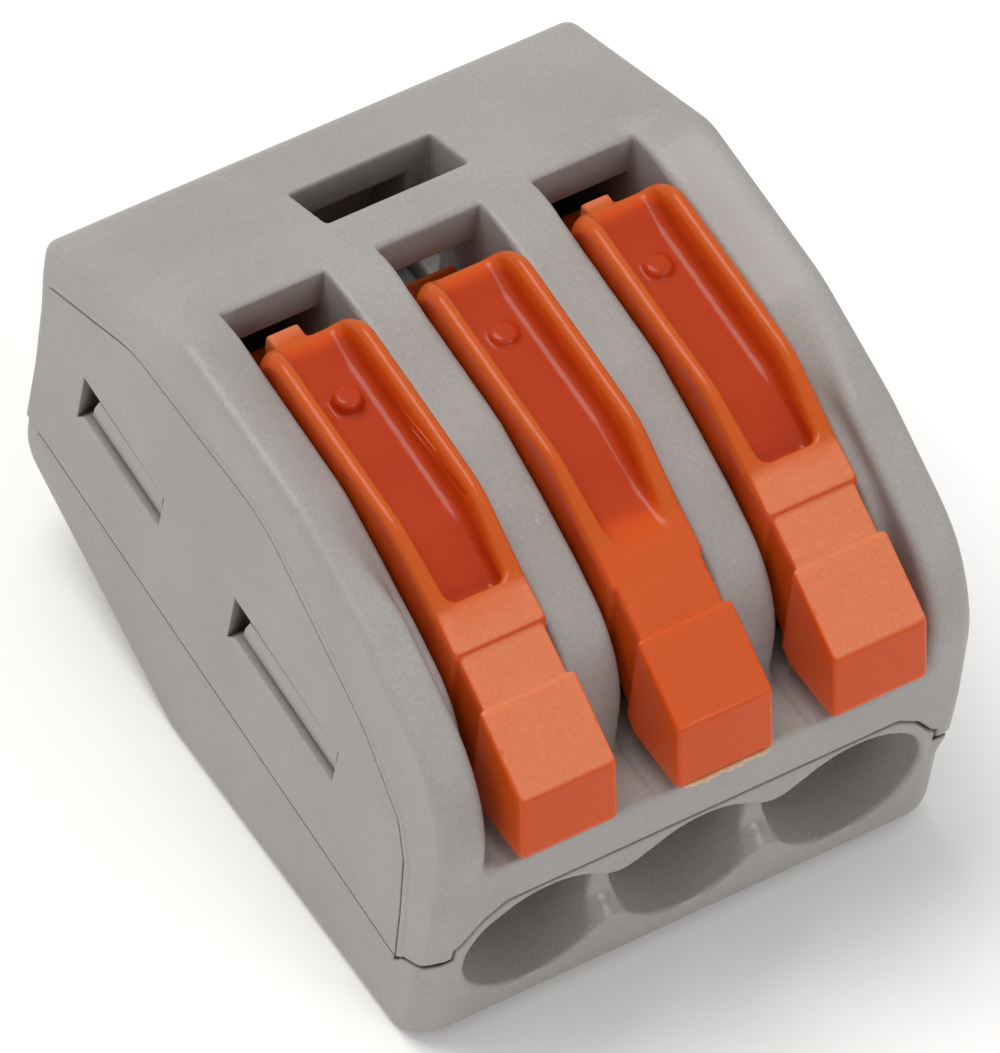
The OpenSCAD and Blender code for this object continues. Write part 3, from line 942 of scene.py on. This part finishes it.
@dataclass
class Lever:
    """Swing-up lever: cam and pins, a bar with a pocket, a neck and a grip."""
    side: str
    x: float
    body: Body
    finish: GlossyPolyamide
    pocket_end: PocketEnd = PocketEnd.SQUARE
    boss_top: float = 13.68
    stub: tuple[float, float, float] = (0.47, 0.5, 13.66)   # half width, length and top
    # Strength of the grained pads on the grip, and of the painted pale sheen on their tops.
    pad_grain_and_sheen_strength: float = 0.85
    bar_half: float = 1.45
    neck_half: float = 1.28
    grip_half: float = 1.44
    pocket_half: float = 0.9
    cam_r: float = 4.3
    cam_gap: float = 0.05
    loop: tuple[float, float, float] = (6.9, 7.09, 1.61)
    ratio: float = 0.175
    outline: Rows = (
        (2.78, 14.45, 1.1), (-3.75, 13.85, 2.5), (-6.95, 12.2, 0.15), (-7.02, 12.05, 0),
        (-8.25, 11.4, 0), (-8.33, 11.52, 0.1), (-10.52, 10.24, 0.2), (-10.93, 8.1, 0.3),
        (-8.7, 8.05, 0.4), (-7.6, 8.9, 1), (-3.2, 10.2, 1), (-1.9, 9.6, 0), (2.78, 9.6, 0))
    square_pocket: Rows = (
        (3.3, 16, 0), (3.3, 13.92, 0), (1.5, 13.42, 2), (-3.6, 12.9, 2),
        (-5.75, 11.95, 0.3), (-5.95, 16, 0))
    soft_pocket: Rows = (
        (3.3, 16, 0), (3.3, 13.92, 0), (1.5, 13.42, 2), (-2.8, 13.05, 2),
        (-4.9, 12.5, 2), (-6.3, 12.5, 0), (-6.3, 16, 0))

    def rows(self) -> Rows:
        """Side view outline; a soft lever has no step before its neck."""
        if self.pocket_end is PocketEnd.SQUARE:
            return self.outline
        return [*self.outline[:2], (-6.95, 12.12, 2.0), *self.outline[4:]]

    def cam(self, y: Array, z: Array) -> Array:
        """Signed distance to the cam's outline.

        A disc about the pivot is cut back by the spring leg's top as it lies
        at each five degrees of the swing, turned back into the closed lever.
        """
        py, pz = self.body.pivot
        shape = outline_distance(np.array(
            [(-1.9, 7), (5.6, 7), (5.6, 10.9), (2.78, 10.4), (-1.9, 12)]), y, z)
        cam = both(np.hypot(y - py, z - pz) - self.cam_r, shape)
        ly, lz, lr = self.loop
        for degrees in range(0, 86, 5):
            a = math.radians(degrees)
            wy = (y - py) * math.cos(a) + (z - pz) * math.sin(a) + py - ly
            wz = (z - pz) * math.cos(a) - (y - py) * math.sin(a) + pz - lz
            b = a * self.ratio
            cam = np.maximum(cam, lr + self.cam_gap - (wz * math.cos(b) - wy * math.sin(b)))
        return cam

    def solid(self, x: Array, y: Array, z: Array) -> Array:
        """Signed distance to the closed lever, with its pole at X = 0."""
        bar = self.bar_half - 0.07 * ramp(-y, 1.0, 6.9)
        half = (bar + (self.neck_half - bar) * ramp(-y, 6.96, 7.04)
                + (self.grip_half - self.neck_half) * ramp(-y, 8.22, 8.34))
        edge = 0.24 - 0.10 * ramp(-y, 5.8, 7.0) + 0.2 * ramp(y, 1.6, 2.6)
        profile = outline_distance(rounded_outline(self.rows()), y, z)
        d = both(profile, np.abs(x) - half, edge)
        d = np.minimum(d, both(self.cam(y, z), np.abs(x) - self.bar_half, 0.12))
        rows = self.soft_pocket if self.pocket_end is PocketEnd.SOFT else self.square_pocket
        pocket = outline_distance(rounded_outline(rows), y, z)
        rise = np.clip(z - 13.26 - 0.1 * y, 0, 0.9)
        d = without(d, both(pocket, np.abs(x) - self.pocket_half + 0.06 - 0.2 * rise, 0.28), 0.2)
        boss = both(both(np.hypot(x, y - 0.55) - 0.4, self.boss_top - 0.9 - z),
                    z - self.boss_top, 0.16)
        d = either(d, boss, 0.07)
        stub = both(both(np.abs(x + 0.35) - self.stub[0], slab(y, 2.4, 2.7 + self.stub[1])),
                    slab(z, 12.9, self.stub[2]), 0.07)
        d = np.minimum(d, stub)
        pin = both(np.hypot(y - self.body.pivot[0], z - self.body.pivot[1]) - self.body.pin_r,
                   np.abs(x) - 2.0, 0.06)
        return np.minimum(d, pin)

    def shade(self, mesh: bpy.types.Mesh) -> None:
        """Writes how low each vertex lies, which paints shade in the pockets and a highlight on the
        rims, and where the grained pads with their painted sheen are.
        """
        co = np.empty(len(mesh.vertices) * 3, np.float32)
        mesh.vertices.foreach_get("co", co)
        normal = np.empty_like(co)
        mesh.vertices.foreach_get("normal", normal)
        x, y, z = co.reshape(-1, 3).T / MM
        up = normal.reshape(-1, 3)[:, 2]
        below = -outline_distance(rounded_outline(self.outline), y, z)
        # Painted shade and highlight: 1 on the top outline gives the lighter rim colour, lower
        # values the darker red of the pockets; the grip stays at a middle value.
        depth = 1 - 0.95 * ramp(below, 0.02, 0.55)
        depth = np.where((y < -6) & (depth > 0.5), 0.6, depth)
        # Painted sheen: the pale colour goes on the up-facing tops of the grip; the grain and
        # roughness of the pads there are real.
        pad_grain_and_sheen = self.pad_grain_and_sheen_strength * ramp(-y, 5.8, 6.2) * ramp(up, 0.55, 0.8) * ramp(-below, -0.2, -0.02)
        # Painted glint: the top of the stub also takes the pale colour.
        pad_grain_and_sheen = np.maximum(pad_grain_and_sheen, 0.55 * ramp(y, 2.78, 2.9) * ramp(z, 13.0, 13.2))
        for name, values in (("depth", depth), ("pad_grain_and_sheen", pad_grain_and_sheen)):
            layer = mesh.attributes.new(name, "FLOAT", "POINT")
            layer.data.foreach_set("value", values.astype(np.float32))

    def build(self) -> bpy.types.Object:
        """Makes the piece."""
        axes = (grid_lines(-2.15, 2.15, 0.08, [(0.6, 1.6, 0.05), (-1.6, -0.6, 0.05)]),
                grid_lines(-11.1, 5.8, 0.08),
                grid_lines(6.8, 14.7, 0.08))
        mesh = mould(f"lever_{self.side}", self.solid, axes)
        self.shade(mesh)
        mesh.transform(Matrix.Translation((self.x * MM, 0, 0)))
        mesh.materials.append(self.finish.material())
        piece = show(f"orange_lever_{self.side}", mesh)
        keep_planes_flat(piece)
        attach(piece, f"lever_{self.side}")
        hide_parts(f"lever_{self.side}")
        return piece


@dataclass
class Flash:
    """Ragged edge of plastic left along the bottom of a grip, gone pale where it
    was trimmed: a thin section carried across the grip, its reach a sum of sines."""
    side: str
    x: float
    half_width: float = 1.3
    place: tuple[float, float] = (-10.83, 8.26)
    reach: float = 0.13
    colour: str = "E0CDB4"

    def build(self) -> bpy.types.Object:
        """Makes the piece."""
        along = np.linspace(-1, 1, 61)[:, None]
        ragged = 0.62 + 0.2 * np.sin(9.1 * along) + 0.18 * np.sin(23.7 * along + 1.3)
        out = self.reach * ragged * (1 - along ** 8) + 0.01
        turn = np.radians(np.arange(0, 360, 45))[None, :]
        y = self.place[0] - out / 2 + (out / 2 + 0.05) * np.cos(turn)
        z = self.place[1] - 0.02 * ragged + (0.035 + 0.02 * ragged) * np.sin(turn)
        x = self.x + self.half_width * along + 0 * turn
        mesh = closed_sweep(f"flash_{self.side}", np.stack((x, y, z), axis=-1))
        material, tree, shader = new_material("trimmed_polyamide_edge")
        place = add_node(tree, "ShaderNodeTexCoord").outputs["Object"]
        grain = add_node(tree, "ShaderNodeTexNoise", {
            "Vector": place, "Scale": per_mm(0.2), "Detail": 2.0}).outputs["Fac"]
        colour = add_node(tree, "ShaderNodeMix", {
            0: grain, 6: linear("C98A55"), 7: linear(self.colour)}, data_type="RGBA").outputs[2]
        tree.links.new(colour, shader.inputs["Base Color"])
        shader.inputs["Roughness"].default_value = 0.5
        shader.inputs["IOR"].default_value = 1.53
        mesh.materials.append(material)
        piece = show(f"grip_flash_{self.side}", mesh)
        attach(piece, f"lever_{self.side}")
        return piece


# ------------------------------------------------------------------ metal

@dataclass
class Clamp:
    """Bent strip clamp: a fixed leg, a loop and an upper leg in one strip,
    and the windowed cage that the upper leg carries."""
    side: str
    x: float
    finish: RolledMetal
    strip: float = 0.38
    half_width: float = 1.41
    window_half: float = 1.06
    loop: tuple[float, float] = (6.9, 7.09)
    loop_mid_r: float = 1.42
    leg_y: float = -1.0
    cage_y: float = -2.0
    lip_z: float = 4.58
    lip_h: float = 0.6
    bend_r: float = 0.45

    def strip_distance(self, path: Array, y: Array, z: Array) -> Array:
        """Distance to an open path, less half the strip's thickness."""
        best = np.full(np.broadcast(y, z).shape, np.inf)
        for p, q in zip(path[:-1], path[1:]):
            way = q - p
            t = np.clip(((y - p[0]) * way[0] + (z - p[1]) * way[1]) / (way @ way), 0, 1)
            best = np.minimum(best, np.hypot(y - p[0] - t * way[0], z - p[1] - t * way[1]))
        return best - self.strip / 2

    def spring_solid(self, x: Array, y: Array, z: Array) -> Array:
        """Signed distance to the fixed leg, the loop and the upper leg."""
        a = np.radians(np.linspace(-90, 90, 25))
        loop = np.column_stack((self.loop[0] + self.loop_mid_r * np.cos(a),
                                self.loop[1] + self.loop_mid_r * np.sin(a)))
        path = np.concatenate(([(self.leg_y, loop[0, 1])], loop, [(self.cage_y + 1, loop[-1, 1])]))
        return both(self.strip_distance(path, y, z), np.abs(x) - self.half_width, 0.07)

    def cage_solid(self, x: Array, y: Array, z: Array) -> Array:
        """Signed distance to the cage with its bend, window and lip."""
        top = self.loop[1] + self.loop_mid_r
        a = np.radians(np.linspace(90, 180, 9))
        bend = np.column_stack((self.cage_y + self.bend_r + self.bend_r * np.cos(a),
                                top - self.bend_r + self.bend_r * np.sin(a)))
        foot = (self.cage_y, self.lip_z - self.lip_h + self.strip / 2)
        path = np.concatenate(([(self.cage_y + 1.1, top)], bend, [foot]))
        d = both(self.strip_distance(path, y, z), np.abs(x) - self.half_width, 0.07)
        window = both(both(np.abs(x) - self.window_half, slab(z, self.lip_z, top - 0.55), 0.2),
                      np.abs(y - self.cage_y) - 1)
        return without(d, window, 0.05)

    def build(self) -> list[bpy.types.Object]:
        """Makes the spring, which bends, and the cage that rides on its end."""
        across = grid_lines(-1.6, 1.6, 0.12, [(-1.5, -0.9, 0.07), (0.9, 1.5, 0.07)])
        spring = mould(f"clamp_spring_{self.side}", self.spring_solid,
                       (across, grid_lines(-1.4, 8.8, 0.09), grid_lines(5.2, 9.0, 0.07)))
        cage = mould(f"clamp_cage_{self.side}", self.cage_solid,
                     (across, grid_lines(-2.5, -0.5, 0.07), grid_lines(3.6, 9.0, 0.09)))
        material = self.finish.material()
        pieces = []
        for mesh, kind in ((spring, "spring"), (cage, "cage")):
            mesh.transform(Matrix.Translation((self.x * MM, 0, 0)))
            mesh.materials.append(material)
            piece = show(f"{kind}_strip_{self.side}", mesh)
            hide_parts(f"clamp_{kind}_{self.side}")
            pieces.append(piece)
        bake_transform(pieces[0])
        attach(pieces[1], f"cage_{self.side}")
        return pieces


@dataclass
class Busbar:
    """Stamped bar that joins the poles: a cross piece with three tongues."""
    body: Body
    finish: RolledMetal
    low: float = 4.68
    thickness: float = 0.78
    tongue_half: float = 0.91

    def solid(self, x: Array, y: Array, z: Array) -> Array:
        """Signed distance to the bar; its upper edges are rolled, as a stamp
        leaves them, and the lower ones are nearly sharp."""
        layer = slab(z, self.low, self.low + self.thickness)
        radius = 0.03 + 0.11 * ramp(z, self.low + 0.3, self.low + 0.5)
        tongue = both(self.body.from_pole(x) - self.tongue_half, slab(y, -3.4, 3.5), 0.15)
        cross = both(np.abs(x) - 6.1, slab(y, 2, 5), 0.15)
        return both(np.minimum(tongue, cross), layer, radius)

    def build(self) -> bpy.types.Object:
        """Makes the piece."""
        axes = (grid_lines(-6.4, 6.4, 0.1), grid_lines(-3.7, 5.3, 0.1),
                grid_lines(4.4, 5.7, 0.06))
        mesh = mould("busbar", self.solid, axes)
        mesh.materials.append(self.finish.material())
        piece = show("busbar_strip", mesh)
        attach(piece, "body")
        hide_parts("busbar")
        return piece


# ----------------------------------------------------------------- studio

@dataclass
class Studio:
    """Camera, pale table and soft lights."""
    target: tuple[float, float, float] = (0.0, 0.0, 7.0)
    azimuth: float = -37.85
    elevation: float = 51.257
    roll: float = 7.265
    distance: float = 333.48
    shift: tuple[float, float] = (-0.118, 0.583)
    lens: float = 441.2

    def camera(self) -> bpy.types.Object:
        """Long-lens camera that looks down on the front left corner."""
        a, e, r = (math.radians(v) for v in (self.azimuth, self.elevation, self.roll))
        back = Vector((math.sin(a) * math.cos(e), -math.cos(a) * math.cos(e), math.sin(e)))
        right = Vector((math.cos(a), math.sin(a), 0))
        up = back.cross(right)
        right, up = (right * math.cos(r) + up * math.sin(r), up * math.cos(r) - right * math.sin(r))
        place = Vector(self.target) + back * self.distance
        place = (place - right * self.shift[0] - up * self.shift[1]) * MM
        data = bpy.data.cameras.new("camera")
        data.lens = self.lens
        data.clip_start = 0.01
        data.clip_end = 10
        camera = bpy.data.objects.new("camera", data)
        bpy.context.scene.collection.objects.link(camera)
        camera.matrix_world = Matrix((
            (right.x, up.x, back.x, place.x), (right.y, up.y, back.y, place.y),
            (right.z, up.z, back.z, place.z), (0, 0, 0, 1)))
        bpy.context.scene.camera = camera
        return camera

    def light(self, name: str, place: tuple[float, float, float], size: float,
              power: float, colour: str = "FFFFFF") -> None:
        """Square soft light that faces the part, its place and size in metres."""
        data = bpy.data.lights.new(name, "AREA")
        data.size = size
        data.energy = power
        data.color = linear(colour)[:3]
        lamp = bpy.data.objects.new(name, data)
        bpy.context.scene.collection.objects.link(lamp)
        lamp.location = place
        lamp.rotation_euler = (Vector(place) - Vector((0, 0, 0.007))).to_track_quat(
            "Z", "Y").to_euler()

    def build(self) -> None:
        """Sets the camera, the lights, the surroundings and the table."""
        self.camera()
        self.light("key_softbox", (-0.08, 0.12, 0.35), 0.22, 0.82, "FFFDFA")
        self.light("front_softbox", (0.10, -0.34, 0.22), 0.16, 0.25, "FDFEFF")
        world = bpy.data.worlds.new("studio_white")
        bpy.context.scene.world = world
        world.use_nodes = True
        background = world.node_tree.nodes["Background"]
        background.inputs["Color"].default_value = linear("FBFBFA")
        background.inputs["Strength"].default_value = 0.58
        bpy.context.scene.view_settings.view_transform = "Standard"
        half = 0.6
        mesh = bpy.data.meshes.new("table")
        mesh.from_pydata([(-half, -half, 0), (half, -half, 0), (half, half, 0), (-half, half, 0)],
                         [], [(0, 1, 2, 3)])
        mesh.transform(Matrix.Translation((0, 0, -0.02 * MM)))
        mesh.materials.append(PlainTable().material())
        show("table", mesh)


def corners(box: Sequence[Sequence[float]]) -> list[list[float]]:
    """A box as plain lists of numbers."""
    return [[float(v) for v in corner] for corner in box]


def main() -> None:
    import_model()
    body = Body()
    housing_finish = MouldedPolyamide("moulded_grey_polyamide", "9B9794", "A29E9C")
    base_finish = MouldedPolyamide("moulded_grey_polyamide_base", "9A9591", "A19D99")
    orange = GlossyPolyamide("polished_orange_polyamide")
    # The stainless strip's colour is darkened to paint the shade that the springs lie in inside the
    # housing.
    shade_darkened_steel = RolledMetal("shade_darkened_stainless_strip", "97999B", "838280", 0.38)
    tinned = RolledMetal("tinned_copper_strip", "CFCCC4", "B1ADA3", 0.34)
    pieces = [UpperHousing(body, housing_finish).build(), BaseCover(body, base_finish).build(),
              Busbar(body, tinned).build()]
    levers = (
        Lever("left", -body.pitch, body, orange),
        # The middle lever's grip carries little of the painted sheen.
        Lever("middle", 0.0, body, orange, pocket_end=PocketEnd.SOFT, boss_top=13.5,
              stub=(0.3, 0.1, 13.4), pad_grain_and_sheen_strength=0.12),
        Lever("right", body.pitch, body, orange, boss_top=13.5, stub=(0.4, 0.4, 13.6)))
    for lever in levers:
        pieces.append(lever.build())
        pieces.extend(Clamp(lever.side, lever.x, shade_darkened_steel).build())
    pieces.append(Flash("middle", 0.0).build())
    Studio().build()
    for piece in pieces:
        LOG.info("%s: %d faces", piece.name, len(piece.data.polygons))


if __name__ == "__main__":
    main()
